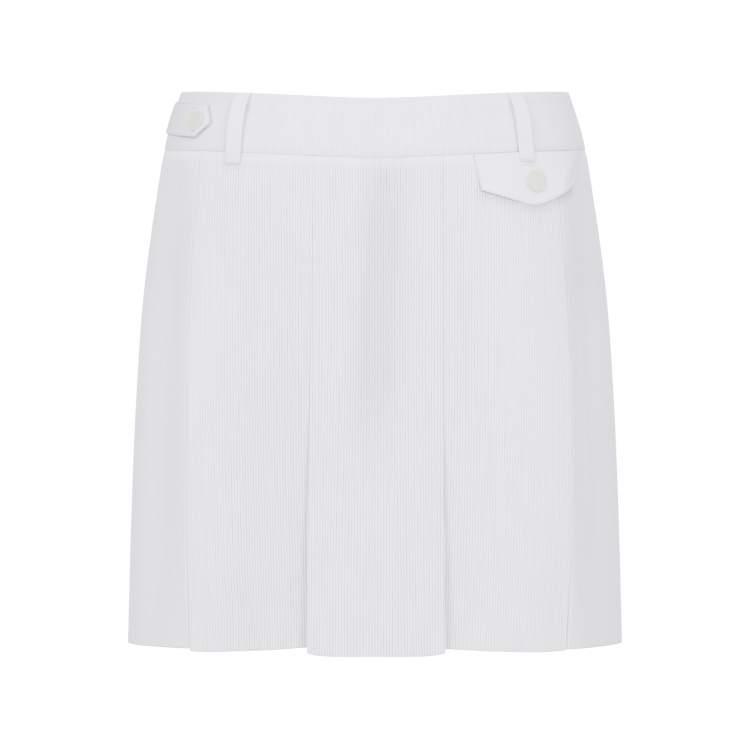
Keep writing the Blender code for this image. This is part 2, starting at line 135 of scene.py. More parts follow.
formGrids, formLengths = layOutForm()
print("form laid out")


def roundTheForm(height):
    return [float(np.interp(height, formLevels, formLengths[:, n])) for n in (0, 1)]


def onForm(share, lift, height):
    share, lift, height = np.broadcast_arrays(*(np.asarray(v, float) for v in (share, lift, height)))
    row = (height - formLevels[0]) / (formLevels[1] - formLevels[0])
    row = np.clip(row, 0, len(formLevels) - 1.001)
    column = np.clip(np.abs(share) / formShares[1], 0, len(formShares) - 1.001)
    r, c = row.astype(int), column.astype(int)
    u, v = column - c, row - r
    x, y, outX, outY = (
        mix(mix(grid[r, c], grid[r, c + 1], u), mix(grid[r + 1, c], grid[r + 1, c + 1], u), v)
        for grid in formGrids
    )
    side = np.where(share < 0, -1, 1)
    return np.stack([side * (x + outX * lift), y + outY * lift, height], -1)


def shareOf(along, toSide, toBack):
    size = np.abs(along)
    share = np.where(size < toSide, size / toSide, 1 + (size - toSide) / toBack)
    return np.copysign(share, along)


def alongTo(share, toSide, toBack):
    return math.copysign(min(abs(share), 1) * toSide + max(abs(share) - 1, 0) * toBack, share)


def shareBeside(share, away, height):
    toSide, toBack = roundTheForm(height)
    return shareOf(alongTo(share, toSide, toBack) + away, toSide, toBack)


def topEdge(share):
    size = np.abs(share)
    front = mix(edges["frontTop"], edges["sideTop"], softPoint(size, edges["dipSoftness"]))
    back = mix(edges["sideTop"], edges["backTop"], np.sin(math.pi / 2 * np.clip(size - 1, 0, 1)))
    return np.where(size > 1, back, front)


def bandSeam(share):
    return topEdge(share) - edges["bandHeight"]


def table(columns, *rows):
    return [dict(zip(columns.split(), row)) for row in rows]


# Soft troughs and ridges, each a line between two points (across, down). Across is from the centre
# front or the centre back, with the right as seen from the front positive, and down is from the band's
# seam. Two widths are those left and right of the line. Shade is how much painted shade a trough lays on
# the cloth
creases = {
    "front": table(
        "start end width depth shade",
        ((8, -8), (-3, 208), (10, 12), -7.8, 0.44),
        ((0, 270), (-3, 356), (9, 11), -1.8, 0.04),
        ((29, 20), (31, 240), 8, 0.8),
        ((-26, 40), (-29, 330), 9, 0.8),
        ((-118, 20), (-125, 350), (24, 32), 4.6),
        ((-88, 110), (-93, 345), 13, -1.8, 0.08),
        ((-58, 90), (-60, 340), 13, -0.6, 0.08),
        ((120, 20), (130, 350), (42, 26), 6.6),
        ((56, 110), (56, 310), 12, -1.0),
        ((-94, 290), (-98, 356), 16, -2.2, 0.13),
        ((-148, -16), (-172, 110), 26, -2.0, 0.16),
        ((152, -10), (170, 120), 26, -2.0, 0.2),
        ((129, 280), (132, 356), (15, 9), -2.4, 0.09),
        ((162, 10), (182, 350), 18, -2.6),
        ((130, 60), (138, 350), (16, 40), -2.6, 0.04),
        ((-131, 190), (-134, 350), (30, 13), -2.2, 0.03),
        ((146, 40), (170, 280), 7, 1.2),
        ((192, 140), (206, 350), 12, -1.0),
        ((-156, 40), (-172, 350), 18, -4.4),
        ((-184, 40), (-196, 300), 12, 0.9),
        ((-206, 160), (-214, 360), 12, -1.0),
        ((112, 6), (124, 70), 8, -0.6),
        ((-128, 8), (-140, 60), 8, -0.5),
    ),
    "back": table(
        "start end width depth shade",
        ((30, 40), (38, 330), 14, 2.2),
        ((74, 20), (92, 350), 12, -2.4, 0.06),
        ((128, 70), (150, 340), 16, 2.4),
        ((182, 30), (196, 260), 11, -2.0, 0.06),
        ((-24, 70), (-30, 350), 13, 2.0),
        ((-66, 30), (-80, 280), 14, -2.2, 0.06),
        ((-116, 90), (-140, 350), 12, 2.6),
        ((-172, 20), (-190, 330), 15, -2.2, 0.06),
        ((4, 8), (20, 90), 10, -1.3, 0.06),
        ((-6, 12), (-28, 120), 9, -1.1, 0.06),
    ),
}


def drape(side, across, down):
    lift = np.zeros(np.broadcast(across, down).shape)
    shade = np.zeros(lift.shape)
    for crease in creases[side]:
        (a0, d0), (a1, d1) = crease["start"], crease["end"]
        long = math.hypot(a1 - a0, d1 - d0)
        ux, uy = (a1 - a0) / long, (d1 - d0) / long
        s = ((across - a0) * ux + (down - d0) * uy) / long
        away = (across - a0) * uy - (down - d0) * ux
        fade = ease((s + 0.15) / 0.45) * ease((1.15 - s) / 0.45)
        left, right = np.broadcast_to(crease["width"], 2)
        wide = np.where(away < 0, left, right)
        lift = lift + crease["depth"] * fade * bump(away, wide)
        # painted shade along the trough, a little wider than the trough
        shade = shade + crease.get("shade", 0) * fade * bump(away, 1.4 * wide)
    return lift, shade


class Wire:  # a node's output, so that shader maths reads as a sum
    def __init__(self, finish, socket):
        self.finish, self.socket = finish, socket

    def math(self, operation, first, second=0.0):
        return self.finish.node("ShaderNodeMath", {"operation": operation}, {0: first, 1: second})

    def __add__(self, other):
        return self.math("ADD", self, other)

    __radd__ = __add__

    def __sub__(self, other):
        return self.math("SUBTRACT", self, other)

    def __rsub__(self, other):
        return self.math("SUBTRACT", other, self)

    def __mul__(self, other):
        return self.math("MULTIPLY", self, other)

    __rmul__ = __mul__

    def __pow__(self, other):
        return self.math("POWER", self, other)

    def sine(self):
        return self.math("SINE", self)

    def size(self):
        return self.math("ABSOLUTE", self)


class Finish:  # one material under construction, or the sky
    def __init__(self, name, kind="materials"):
        self.made = getattr(bpy.data, kind).new(name)
        self.made.use_nodes = True
        self.tree = self.made.node_tree
        self.tree.nodes.clear()

    def node(self, kind, settings=None, sockets=None, out=0):
        made = self.tree.nodes.new(kind)
        for setting, value in (settings or {}).items():
            setattr(made, setting, value)
        for key, value in (sockets or {}).items():
            if isinstance(value, Wire):
                self.tree.links.new(value.socket, made.inputs[key])
            else:
                made.inputs[key].default_value = value
        shown = [output for output in made.outputs if output.enabled]
        return Wire(self, shown[out]) if shown else None

    def room(self):
        return self.node("ShaderNodeTexCoord", {}, {}, 3)

    def map(self, name):
        return self.node("ShaderNodeUVMap", {"uv_map": name})

    def part(self, vector, n):  # x, y or z of it
        return self.node("ShaderNodeSeparateXYZ", {}, {"Vector": vector}, n)

    def noise(self, place, scale, detail=2.0):
        return self.node("ShaderNodeTexNoise", {}, {"Vector": place, "Scale": scale, "Detail": detail})

    def blend(self, factor, first, last, way="MIX"):
        settings = {"data_type": "RGBA", "blend_type": way}
        return self.node("ShaderNodeMix", settings, {0: factor, 6: first, 7: last})

    def relief(self, height, strength, deep):
        return self.node("ShaderNodeBump", {}, {"Strength": strength, "Distance": deep, "Height": height})

    def close(self, **sockets):
        sockets = {name.replace("_", " "): value for name, value in sockets.items()}
        surface = self.node("ShaderNodeBsdfPrincipled", {}, sockets)
        self.node("ShaderNodeOutputMaterial", {}, {"Surface": surface})
        return self.made


# The cloth map is a place in metres across the ribs and down them. The second map holds the painted
# shade, and how much lighter the painted shade in the rib grooves is
ribFinish = {
    "crown": (0.825, 0.805, 0.875, 1),
    # groove is the colour in the grooves between the ribs: painted shade on top of their real relief,
    # lighter on the band
    "groove": {"skirt": (0.33, 0.315, 0.39, 1), "band": (0.53, 0.515, 0.59, 1)},
    "cloud": (0.75, 0.73, 0.81, 1),
    "clouded": 0.14,
    "dimmed": (0.45, 0.44, 0.49, 1),  # what full painted shade multiplies a cloth's colour by
    "yarnPitch": 0.42,  # mm from one weft yarn to the next
    "roughness": 0.86,
    "relief": (0.35, 0.00008),  # how strong, and its depth in metres
    "sheen": 0.12,
}


def ribbedCloth(where):
    f = Finish("white_ribbed_cloth_" + where)
    place, shadeMap, room = f.map("cloth"), f.map("shadeMap"), f.room()
    across, down = f.part(place, 0), f.part(place, 1)
    paintedShade, groovesLighter = f.part(shadeMap, 0), f.part(shadeMap, 1)
    groove = (across * (math.pi / (cloth["ribPitch"] * mm))).sine().size()
    yarn = math.pi / (ribFinish["yarnPitch"] * mm)
    weave = (down * yarn).sine().size() * (0.6 + 0.4 * groove)
    cloudy = f.noise(room, 38.0)
    fuzz = f.noise(room, 2400.0, 1.0)
    along = f.node("ShaderNodeMapping", {}, {"Vector": place, "Scale": (1, 0.06, 1)})
    uneven = f.noise(along, 420.0)
    # painted shade in the grooves between the ribs, less where the second map lightens it
    grooveShade = (1 - groove) ** 1.35 * (0.3 + 1.4 * uneven) * (1 - groovesLighter)
    colour = f.blend(grooveShade, ribFinish["crown"], ribFinish["groove"][where])
    colour = f.blend(cloudy * ribFinish["clouded"], colour, ribFinish["cloud"])
    return f.close(
        # the painted shade darkens the cloth's colour
        Base_Color=f.blend(paintedShade, colour, ribFinish["dimmed"], "MULTIPLY"),
        Roughness=ribFinish["roughness"] + 0.06 * (cloudy - 0.5),
        Normal=f.relief(weave * 0.5 + fuzz * 0.5, *ribFinish["relief"]),
        Sheen_Weight=ribFinish["sheen"],
        Sheen_Roughness=0.6,
        Specular_IOR_Level=0.25,
    )


trimFinish = {
    "colour": (0.83, 0.812, 0.875, 1),
    "shade": (0.68, 0.66, 0.735, 1),
    "yarnPitch": 0.36,
    "roughness": 0.82,
    "relief": (0.3, 0.00006),
}


def smoothCloth():
    f = Finish("white_smooth_cloth")
    room = f.room()
    yarn = math.pi / (trimFinish["yarnPitch"] * mm)
    twill = ((f.part(room, 0) + f.part(room, 2)) * yarn).sine().size()
    cloudy = f.noise(room, 60.0)
    mottle = f.noise(room, 520.0)
    fuzz = f.noise(room, 2600.0, 1.0)
    colour = f.blend(cloudy * 0.2 + (mottle - 0.4) * 1.1, trimFinish["colour"], trimFinish["shade"])
    return f.close(
        # the second map's first part is painted shade, which darkens the trim's colour
        Base_Color=f.blend(f.part(f.map("shadeMap"), 0), colour, ribFinish["dimmed"], "MULTIPLY"),
        Roughness=trimFinish["roughness"] + 0.08 * (cloudy - 0.5),
        Normal=f.relief(twill * 0.5 + fuzz * 0.5, *trimFinish["relief"]),
        Sheen_Weight=0.1,
        Specular_IOR_Level=0.28,
    )


capFinish = {
    "colour": (0.575, 0.6, 0.485, 1),
    "worn": (0.54, 0.56, 0.445, 1),
    "roughness": 0.36,
}


def ivoryCap():
    f = Finish("ivory_cap")
    room = f.room()
    speckle = f.noise(room, 1500.0, 3.0)
    return f.close(
        Base_Color=f.blend(f.noise(room, 260.0), capFinish["colour"], capFinish["worn"]),
        Roughness=capFinish["roughness"] + 0.12 * (speckle - 0.5),
        Normal=f.relief(speckle, 0.12, 0.00005),
        Specular_IOR_Level=0.5,
    )


def threadFinish(name, light, dark):
    f = Finish(name)
    fuzz = f.noise(f.room(), 4000.0)
    return f.close(
        Base_Color=f.blend(fuzz, light, dark),
        Roughness=0.62 + 0.1 * fuzz,
        Normal=f.relief(fuzz, 0.3, 0.00004),
        Specular_IOR_Level=0.35,
    )


ribCloth, bandCloth = ribbedCloth("skirt"), ribbedCloth("band")
trimCloth, capIvory = smoothCloth(), ivoryCap()
thread = threadFinish("white_thread", (0.86, 0.86, 0.87, 1), (0.78, 0.78, 0.80, 1))
# dark tubes that stand for the painted shade in the needle holes
holeShade = threadFinish("needle_hole_shade", (0.2, 0.19, 0.24, 1), (0.3, 0.29, 0.34, 1))
print("finishes mixed")


def putIn(name, data, place=(0, 0, 0)):
    thing = bpy.data.objects.new(name, data)
    thing.location = place
    bpy.context.scene.collection.objects.link(thing)
    return thing


def addPiece(name, points, faces, finish, places=None):
    mesh = bpy.data.meshes.new(name)
    mesh.from_pydata((np.asarray(points) * mm).tolist(), [], faces)
    mesh.shade_smooth()
    mesh.materials.append(finish)
    if places is not None:
        corners = np.zeros(len(mesh.loops), dtype=np.int32)
        mesh.loops.foreach_get("vertex_index", corners)
        for title, values in (("cloth", places[:, :2] * mm), ("shadeMap", places[:, 2:])):
            layer = mesh.uv_layers.new(name=title)
            layer.data.foreach_set("uv", values[corners].astype(np.float32).ravel())
    return putIn(name, mesh)


def fitIn(piece, node=None):
    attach(piece, "root")
    if node:
        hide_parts(node)


def gridFaces(start, rows, columns, flip=False):
    corner = start + np.arange(rows - 1)[:, None] * columns + np.arange(columns - 1)[None, :]
    quads = np.stack([corner, corner + columns, corner + columns + 1, corner + 1], -1).reshape(-1, 4)
    return (quads[:, ::-1] if flip else quads).tolist()


def addShell(name, outer, inner, finish, places, match=None):
    # outer and inner are [row, column, xyz]; match gives the outer row beside each inner row
    rows, columns = outer.shape[:2]
    match = match or list(range(rows))
    low = rows * columns
    faces = gridFaces(0, rows, columns) + gridFaces(low, len(match), columns, True)
    for outerRow, innerRow, flip in ((0, 0, True), (rows - 1, len(match) - 1, False)):
        a = outerRow * columns + np.arange(columns - 1)
        b = low + innerRow * columns + np.arange(columns - 1)
        quads = np.stack([a, b, b + 1, a + 1], -1)
        faces += (quads[:, ::-1] if flip else quads).tolist()
    for column, flip in ((0, False), (columns - 1, True)):
        for n in range(len(match) - 1):
            beside = [row * columns + column for row in range(match[n], match[n + 1] + 1)]
            face = beside[::-1] + [low + n * columns + column, low + (n + 1) * columns + column]
            faces.append(face[::-1] if flip else face)
    points = np.concatenate([outer.reshape(-1, 3), inner.reshape(-1, 3)])
    places = np.concatenate([places.reshape(-1, 4), places[match].reshape(-1, 4)])
    return addPiece(name, points, faces, finish, places)


def ribRelief(column):
    # 0 on a rib's crown and -1 at the bottom of the groove
    return np.abs(np.sin(math.pi * column / cloth["ribPitch"])) ** cloth["ribWidth"] - 1


skirt = {
    "stitchEnd": 0.37,  # share of the way down at which the stitching lets the pleats open
    "foldRadius": 0.27,  # where they are stitched
    "tuck": 0.75,  # how far past a stitched fold the next panel takes to come back out
    "pressed": 0.5,  # share of its thickness that the cloth loses where a fold is pressed
    "ironed": 1.6,  # how far from a fold that reaches
    "sideGrooveFade": (0.4, 150, 35),  # how much lighter the painted shade in the rib grooves is at the sides, from where and over how far
    "hipGrooveFade": (0.25, 145, 22),  # and over the pocket, where and how wide
    "seamLight": (0.7, 2, 4),  # and just under the band: painted light where the cloth puffs out and faces up
    "foldRise": 1.8,  # mm by which the hem lifts at a fold
    "underRise": 1.8,  # and how many times that under it
    "cornerPower": 6,
    "openingEase": 0.8,
    "ribsLevelTo": {"front": 255, "back": 120},  # mm from the centre in which the ribs hang plumb
    "heldFor": 24,  # mm below the band in which the creases grow
    "tuckedIn": (0.9, 3.2),  # how far it goes in under the band, and how far down that reaches
    "seamDip": (0.45, 1.1),  # how deep and wide the side seams lie
    "backSeamDip": (0.45, 1.0),
    "hemAllowance": 30,
    "hemStitch": 7.6,  # mm from one stitch of the hem to the next
    "hemEdge": 0.9,  # over which the hem's fold rounds off
    # painted shade along the hem's bottom edge: how dark, and how far up
    "hemShade": (0.3, 0.8),
    "turnedUp": 0.4,  # how much thicker the hem's turning makes the cloth
    "rows": [0, 0.5, 1.2, 2.2, 3.4, 5, 8, 14, 22, 25, 28, 31, 34, 37.5, 42, 52, *range(64, 299, 13)],
    "rowsFromHem": [36, 33, 31, 30, 29, 27, 22, 15, 9, 4.5, 2, 0.9, 0.3, 0],
    "insideRows": [0, 5, 8, 12, 16, 20, 24, 28, 32, 35, 38, 40, 42, 44, 46, 48],
}

pleats = table(
    # edge is at the seam, where the stitching ends and at the hem. Radius, sink, tuck, crisp and dark
    # are at the hem: crisp is how sharply the fold is pressed and dark is the painted shade under it, for
    # how little light gets there
    "side edge underlay radius sink tuck crisp sag rise dark",
    (-1, (40.5, 43.2, 44.8), 28, 1.1, 8.4, 28, 0, 4.0, 5.4, 0.95),
    (-1, (119.3, 123.8, 124.4), 24, 0.5, 2.1, 2.4, 1, 4.5, 3.4, 0.08),
    (1, (45.2, 45.5, 46.6), 28, 1.1, 9.0, 34, 0, 4.0, 4.3, 0.22),
    (1, (121.5, 129.5, 128.9), 24, 0.5, 2.1, 2.4, 1, 6.0, 2.4, 0.1),
)


def opening(down):
    end, soft = skirt["stitchEnd"], skirt["openingEase"]
    return float(ease((down - end) / (1 - end) * soft) / ease(soft))


def levelHeight(down):
    return float(mix(bandSeam(0.5), edges["hem"], down))


def foldEdge(pleat, down):
    seam, stitched, hem = pleat["edge"]
    end = skirt["stitchEnd"]
    x = (
        seam * (down - end) * (down - 1) / end
        + stitched * down * (down - 1) / (end * (end - 1))
        + hem * down * (down - end) / (1 - end)
    )
    height = levelHeight(down)
    row = int(np.searchsorted(formLevels, height)) - 1
    part = (height - formLevels[row]) / (formLevels[1] - formLevels[0])
    widths = mix(formGrids[0][row], formGrids[0][row + 1], part)[:1001]
    return float(np.interp(x, widths, formShares[:1001])) * roundTheForm(height)[0]


def foldRadius(pleat, down):
    return mix(skirt["foldRadius"], pleat["radius"], opening(down))


def pleatSink(pleat, down):
    return mix(3 * skirt["foldRadius"], pleat["sink"], opening(down))


def panelLift(pleat, down, past, width):
    # lift of the panel that comes out from under a pleat, at a distance past the pleat's edge
    tuck = mix(skirt["tuck"], pleat["tuck"], opening(down))
    share = past / width
    sag = pleat["sag"] * ease(down / skirt["stitchEnd"])
    return -pleatSink(pleat, down) * (1 - ease(past / tuck)) - 4 * sag * share * (1 - share)


def frontHalf(side, down):
    # the cloth's middle from the centre front to the side seam, in stretches of five columns: along,
    # lift, rise at the hem, how hard it is pressed and how much painted shade lies under a fold
    toSide = roundTheForm(levelHeight(down))[0]
    own = [pleat for pleat in pleats if pleat["side"] == side]
    folds = [foldEdge(pleat, down) for pleat in own]
    radii = [foldRadius(pleat, down) for pleat in own]
    ends = [folds[1] - radii[1], toSide - edges["seam"] / 2]
    crisp = [mix(1, pleat["crisp"], opening(down)) for pleat in own]
    rise, power, ironed = skirt["foldRise"], skirt["cornerPower"], skirt["ironed"]
    lower = rise * skirt["underRise"]
    share = np.linspace(0, 1, 60, endpoint=False)
    near = folds[0] - radii[0]
    pressed = crisp[0] * bump(near * (1 - share), ironed)
    stretches = [(near * share, 0 * share, rise * share**power, pressed, 0 * share)]
    turn = np.linspace(0, math.pi, 13)
    under = np.linspace(0, 1, 12)[1:-1]
    above = None
    for pleat, edge, radius, end, hard in zip(own, folds, radii, ends, crisp):
        last = pleat is own[-1]
        sink, unlit = pleatSink(pleat, down), pleat["dark"] * opening(down)
        hidden = edge - pleat["underlay"] + radius
        share = np.linspace(0, 1, 90, endpoint=last)
        width = end - edge
        past = width * share
        layers = [  # the outer turn, the layer going back, the hidden turn and the layer coming out
            (edge - radius + radius * np.sin(turn), radius * (np.cos(turn) - 1)),
            (mix(edge - radius, hidden, under), mix(-2 * radius, 2 * radius - sink, under)),
            (hidden - radius * np.sin(turn), radius * (np.cos(turn) + 1) - sink),
            (mix(hidden, edge, under), -sink + 0 * under),
        ]
        for n, (at, drop) in enumerate(layers):
            # the layers under a fold follow the panel that lies over them
            if above:
                over, overEdge, overWidth = above
                drop = drop + panelLift(over, down, np.minimum(at - overEdge, overWidth), overWidth)
            rises, dark = lower + 0 * at, unlit + 0 * at
            if n == 0:
                rises = rise * mix(1, skirt["underRise"], turn / math.pi)
                dark = unlit * ease(turn / math.pi)
            stretches.append((at, drop, rises, hard + 0 * at, dark))
        corner = 0 * share if last else rise * share**power
        toNext = 99 if last else width * (1 - share)
        pressed = hard * bump(past, ironed) + crisp[1] * bump(toNext, ironed)
        # painted shade on the panel where it comes out from under the fold
        dark = unlit * (0.85 * bump(past, 1.3) + 0.15 * bump(past, 18))
        lift = panelLift(pleat, down, past, width)
        stretches.append((edge + past, lift, pleat["rise"] * (1 - share) + corner, pressed, dark))
        above = (pleat, edge, width)
    return [np.concatenate(values) for values in zip(*stretches)]


backFlutes = table(  # share is that of the way round, and the rest is at the hem
    "share width depth",
    (1.22, 0.16, 3.2), (1.47, 0.13, -3.6), (1.68, 0.13, 4.2), (1.9, 0.1, -2.4),
)


def backHalf(side, down):
    # from the centre back, where the halves meet, to the side seam
    toBack = roundTheForm(levelHeight(down))[1]
    away = np.linspace(0, toBack - edges["seam"] / 2, 240)
    share = 2 - away / toBack
    fall = float(ease((down - 0.25) / 0.75))
    waves = sum(flute["depth"] * bump(share - flute["share"], flute["width"]) for flute in backFlutes)
    return away, fall * waves * ease((share - 1) / 0.12), 0 * away, 0 * away, 0 * away


def layColumns(path, columns, level):
    step = np.hypot(np.diff(path[0]), np.diff(path[1]))
    keep = np.concatenate([[True], step > 1e-6])
    path = [values[keep] for values in path]
    run, climb = np.diff(path[0]), np.diff(path[1])
    step = np.hypot(run, climb)
    length = np.concatenate([[0], np.cumsum(step)])
    faceX = np.concatenate([[0], -climb / step]) + np.concatenate([-climb / step, [0]])
    faceY = np.concatenate([[0], run / step]) + np.concatenate([run / step, [0]])
    rest = (columns[-1] - level) / (length[-1] - level)
    place = np.where(columns < level, columns, level + (columns - level) / rest)
    faceX, faceY, *laid = (np.interp(place, length, values) for values in (faceX, faceY, *path))
    size = np.hypot(faceX, faceY)
    return [faceX / size, faceY / size, *laid]


def clothLength(path):
    return float(np.hypot(np.diff(path[0]), np.diff(path[1])).sum())


ribDrift = table(  # where the ribs wander from plumb
    "across width far waves",
    (-26, 15, 1.5, 1.6), (27, 14, -0.9, 1.3), (82, 24, 1.0, 1.1), (-84, 22, -0.7, 1.4),
)


def drift(across, down):
    return sum(
        rib["far"] * math.sin(math.pi * rib["waves"] * down) * bump(across - rib["across"], rib["width"])
        for rib in ribDrift
    )


# how much lighter the painted shade in the rib grooves is, at the sides and over the hip
def grooveFade(columns):
    much, start, over = skirt["sideGrooveFade"]
    hip, at, width = skirt["hipGrooveFade"]
    return much * ease((np.abs(columns) - start) / over) + hip * bump(columns - at, width)


flap = {
    "centre": (118.2, 110.1),  # from the centre front, at the top and at the corners
    "width": (101, 77),
    "cornerDrop": 24.5,
    "pointDrop": 36.3,
    "pointRound": 0.14,
    "laidAt": 0.08,  # share of the way down the skirt
    "shadow": (0.72, 5.6),  # the painted shadow on the skirt just below it: how dark, and how far down
    "standOff": 0.9,
    "thick": 1.5,
    "snapDrop": 20.2,
    "pinnedHalf": 42,  # half widths by which the pinning, the cap's rim and the puffs are laid out
    "rimHalf": 44,
    "puffHalf": 45,
    "cutShare": 0.75,  # of the rectangle round it
}


def flapBottom(across):
    return mix(flap["pointDrop"], flap["cornerDrop"], softPoint(across, flap["pointRound"]))


# the painted shadow that the flap lays on the skirt below its edge
def underFlap(along, down):
    dark, reach = flap["shadow"]
    across = (along - flap["centre"][1]) / (flap["width"][1] / 2)
    below = np.maximum(down - flapBottom(np.clip(across, -1, 1)), 0)
    return dark * bump(below, reach) * ease((1.1 - np.abs(across)) / 0.12)


def bySideSeam(away):
    # the band's seam lies flatter round the side seams
    return 1 - 0.65 * bump(away, 45)


def dip(away, name):
    deep, width = skirt[name]
    return deep * bump(away, width)


def addSkirtPiece(name, node, face, halves):
    fromBack = face == "back"
    seamToHem = float(bandSeam(0.5)) - edges["hem"]
    rows = skirt["rows"] + [seamToHem - d for d in skirt["rowsFromHem"]]
    much, under, reach = skirt["seamLight"]
    outer, inner, places = [], [], []
    for mmDown in rows:
        down = min(mmDown / seamToHem, 1.0)
        fromHem = seamToHem - mmDown
        toSide, toBack = roundTheForm(levelHeight(down))
        parts = []
        for side, path in halves:
            long = clothLength(path(side, 1.0))
            columns = np.arange(math.ceil(long / ribSpacing)) * ribSpacing
            columns[-1] = long
            laid = layColumns(path(side, down), columns, skirt["ribsLevelTo"][face])
            faceX, faceY, along, lift, rise, pressed, dark = laid
            across = signed = side * along
            if fromBack:
                signed, faceX = side * (toSide + toBack - along), -faceX
            part = [signed, lift, rise, side * faceX, faceY, side * columns, across, pressed, dark]
            parts.append([values[::-1] for values in part] if (side < 0) != fromBack else part)
        if len(parts) == 2:
            parts[1] = [values[1:] for values in parts[1]]
        laid = [np.concatenate(values) for values in zip(*parts)]
        along, lift, rise, faceX, faceY, columns, across, pressed, dark = laid
        droop, shade = drape(face, across, mmDown)
        # worn is how much lighter the painted shade in the rib grooves is; just under the band that is
        # painted light
        worn = 0 * columns
        if not fromBack:
            along = along + drift(across, down)
            worn = grooveFade(columns)
            shade = shade + underFlap(along, mmDown)
        toSeam = np.abs(np.abs(along) - toSide)
        tucked = dip(mmDown, "tuckedIn") * bySideSeam(toSeam)
        lift = lift + droop * ease(mmDown / skirt["heldFor"]) - tucked - dip(toSeam, "seamDip")
        if fromBack:
            lift = lift - dip(across, "backSeamDip")
        stitch = 0.5 + 0.5 * np.cos(2 * math.pi * columns / skirt["hemStitch"])
        dimple = bump(fromHem - skirt["hemAllowance"], 0.9) * (0.07 + 0.1 * stitch**6)
        rib = ribRelief(columns) * cloth["ribDepth"]
        rib = rib * (1 - 0.25 * bump(fromHem, 2.0)) * (1 - 0.6 * pressed)
        taper = rounded(fromHem, skirt["hemEdge"], 0.02)
        fold = cloth["thick"] / 2 * taper * (1 - skirt["pressed"] * pressed)
        turnedUp = skirt["turnedUp"] * float(ease((skirt["hemAllowance"] - fromHem) / 1.5)) * taper
        inside = -fold - turnedUp * (1 - pressed)
        for offset, grid in ((fold + rib - dimple, outer), (inside + 0 * rib, inner)):
            share = shareOf(along + faceX * offset, toSide, toBack)
            height = mix(bandSeam(share) - edges["seam"], edges["hem"] + rise, down)
            grid.append(onForm(share, lift + faceY * offset, height))
        worn = np.minimum(worn + much * bump(mmDown - under, reach), 1)
        # all the painted shade: troughs, under the flap, along the hem and under the folds
        shade = np.minimum(shade + dip(fromHem, "hemShade") + dark, 1)
        places.append(np.stack([columns, 0 * columns - mmDown, shade, worn], -1))
    match = skirt["insideRows"]
    outer, inner, places = np.array(outer), np.array(inner)[match], np.array(places)
    if fromBack:
        outer, inner, places = outer[:, ::-1], inner[:, ::-1], places[:, ::-1]
    piece = addShell(name, outer, inner, ribCloth, places, match)
    wide, narrow = (sum(clothLength(path(side, down)) for side, path in halves) for down in (1.0, 0.0))
    fitIn(piece, node)
    print(f"{name}: {wide:.0f} mm wide at the hem, {narrow:.0f} at the waist, {seamToHem:.0f} long")


band = {
    "thick": 2.3,
    "lift": -0.3,
    "ribShare": 0.45,  # the ribs are pressed flatter here
    "laidAt": 4,  # height at which it is laid round the form
    "rows": [0, 0.25, 0.7, 1.4, 2.6, 5, *range(8, 29, 4), 31.5, 34, 36, 37.8, 39.2, 40.1, 40.5, 40.7],
    "insideRows": [0, 2, 4, 8, 11, 14, 17, 19],
    "roll": 1.15,  # radius of the folded top edge
    "press": 0.7,
    "puff": 0.22,
    "notch": 0.5,  # how far the ends of the ribs stand out past the grooves along the seam
    "rollIn": 0.9,
    # painted shade towards the band's lower edge, where it rolls in and faces down
    "lowShade": 0.15,
}

bandWaves = table(  # how the band bows a little between its loops
    "share width depth",
    (-0.78, 0.1, 0.5), (-0.3, 0.16, 0.4), (0.02, 0.1, -0.5), (0.3, 0.13, 0.45), (0.66, 0.09, 0.5),
    (1.25, 0.15, -0.4), (-1.3, 0.13, 0.4), (1.75, 0.12, 0.4), (-1.72, 0.14, -0.4),
)

bandDents = table(  # soft dents beside the loops, at a place along the band and down it, with painted shade in them
    "at wide tall depth shade",
    ((84, 12), 8, 4.5, -0.7, 0.15),
    ((62, 12), 4, 10, -0.5, 0.15),
    ((104, 27), 17, 2.2, -0.5, 0.07),
    ((80, 33), 9, 3, -0.4, 0.06),
    ((-96, 12), 5, 9, -0.5, 0.08),
    ((-72, 14), 4, 11, -0.5, 0.10),
    ((-126, 33), 26, 3.5, -0.4, 0.15),
    ((-120, 4), 34, 6, -0.2, 0.24),
    ((126, 4), 15, 6, -0.2, 0.12),
)


